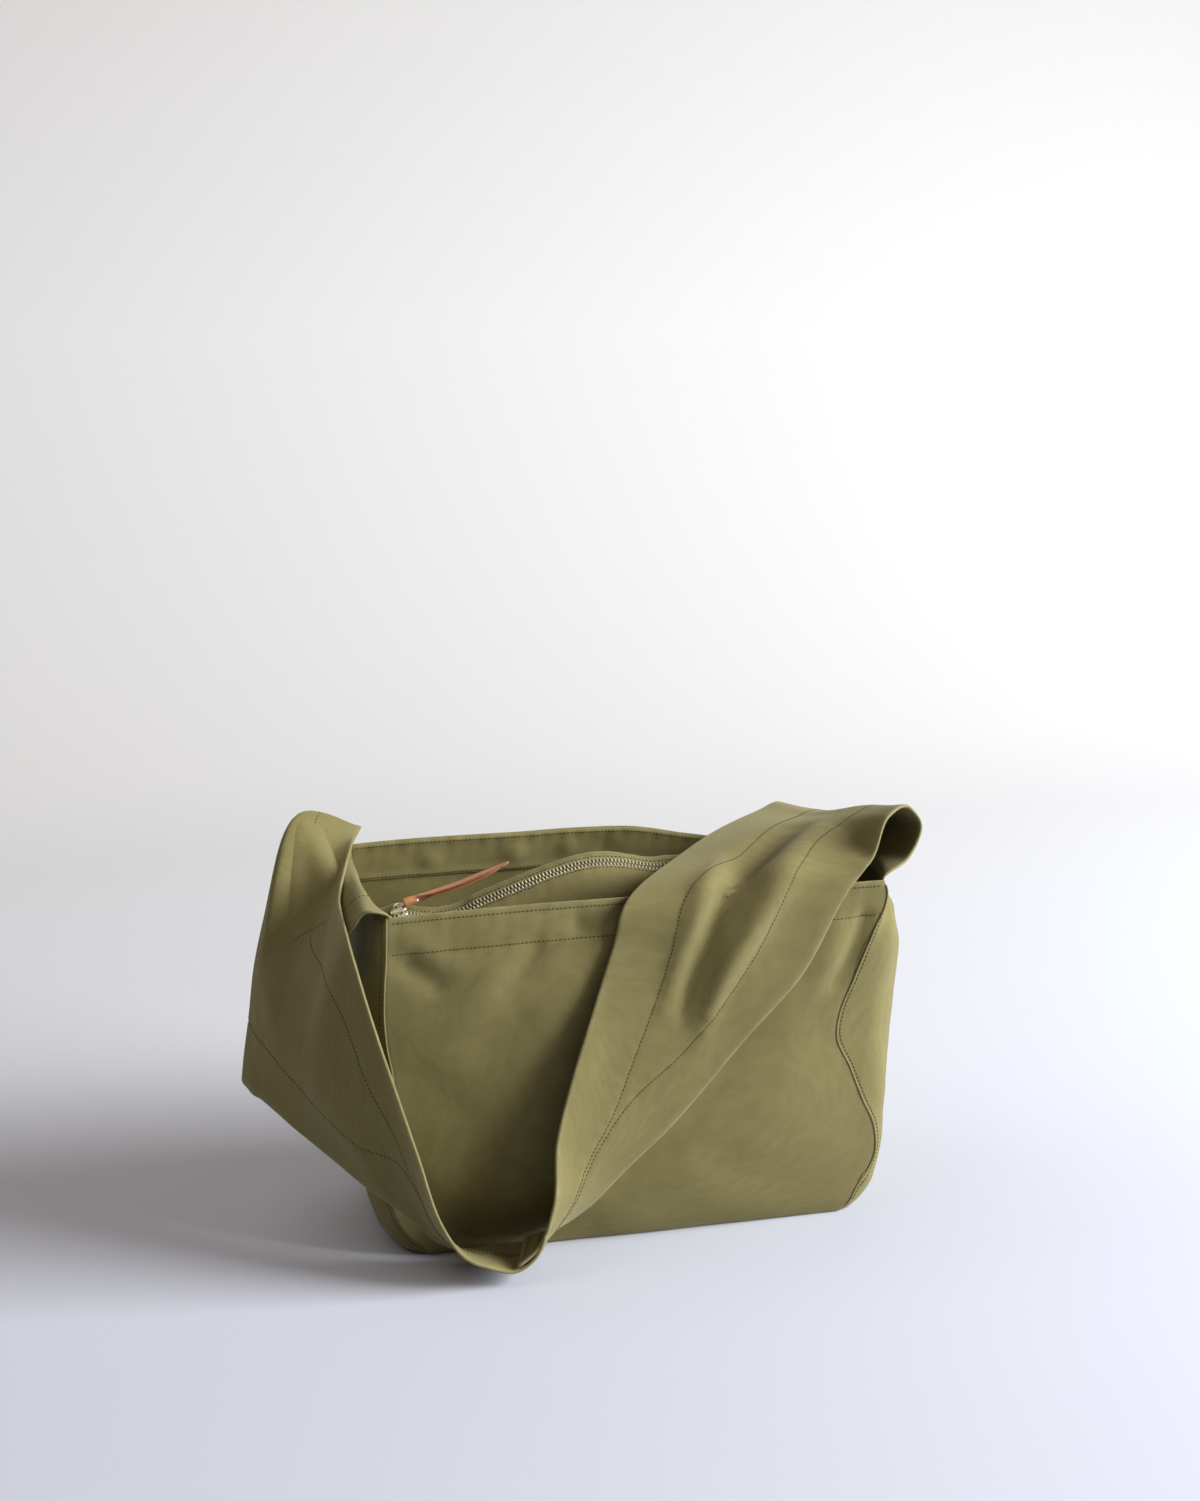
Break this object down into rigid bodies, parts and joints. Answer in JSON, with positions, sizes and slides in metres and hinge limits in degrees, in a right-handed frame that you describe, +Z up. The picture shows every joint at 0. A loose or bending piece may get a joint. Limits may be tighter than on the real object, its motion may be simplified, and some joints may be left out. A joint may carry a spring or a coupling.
{
  "type": "messenger bag",
  "caption": "Open-top canvas messenger bag with a wide folded strap cut in one with its end gussets, an inner zipped pocket and a leather zip pull.",
  "frame": {"origin": "centre of the base, on the surface the bag stands on", "axes": "+X along the mouth to the right-hand gusset, -Y towards the front, +Z up"},
  "size_m": [0.5094, 0.2511, 0.3149],
  "materials": {
    "canvas": "heavy olive cotton canvas, matt",
    "binding_tape": "woven cotton tape, matt",
    "zip_tape": "fine herringbone tape",
    "zip_metal": "pale nickel-brass, satin",
    "leather": "waxed tan leather, satin"
  },
  "bodies": {
    "bag": {"front_panel": "canvas", "back_panel": "canvas", "bottom_panel": "canvas", "gusset_left": "canvas", "gusset_right": "canvas", "front_facing": "canvas", "back_facing": "canvas", "strap_left": "canvas", "strap_right": "canvas", "pouch_front": "canvas", "pouch_back": "canvas", "pouch_bottom": "canvas", "front_left_seam_binding": "binding_tape", "front_right_seam_binding": "binding_tape", "back_left_seam_binding": "binding_tape", "back_right_seam_binding": "binding_tape", "front_base_binding": "binding_tape", "back_base_binding": "binding_tape", "zip_tape_front": "zip_tape", "zip_tape_back": "zip_tape", "zip_teeth_front": "zip_metal", "zip_teeth_back": "zip_metal", "zip_top_stops": "zip_metal", "zip_bottom_stop": "zip_metal"},
    "slider": {"zip_slider": "zip_metal"},
    "pull": {"zip_tab": "zip_metal", "leather_pull": "leather"}
  },
  "joints": [
    {"name": "zip_travel", "type": "hinge", "parent": "bag", "child": "slider", "pos_m": [0, -0.015, -0.277], "axis": [0, 1, 0], "range_deg": [0, 21.82]},
    {"name": "pull_swing", "type": "hinge", "parent": "slider", "child": "pull", "pos_m": [-0.16462, -0.015, 0.24821], "axis": [0, -1, 0], "range_deg": [0, 110]}
  ]
}
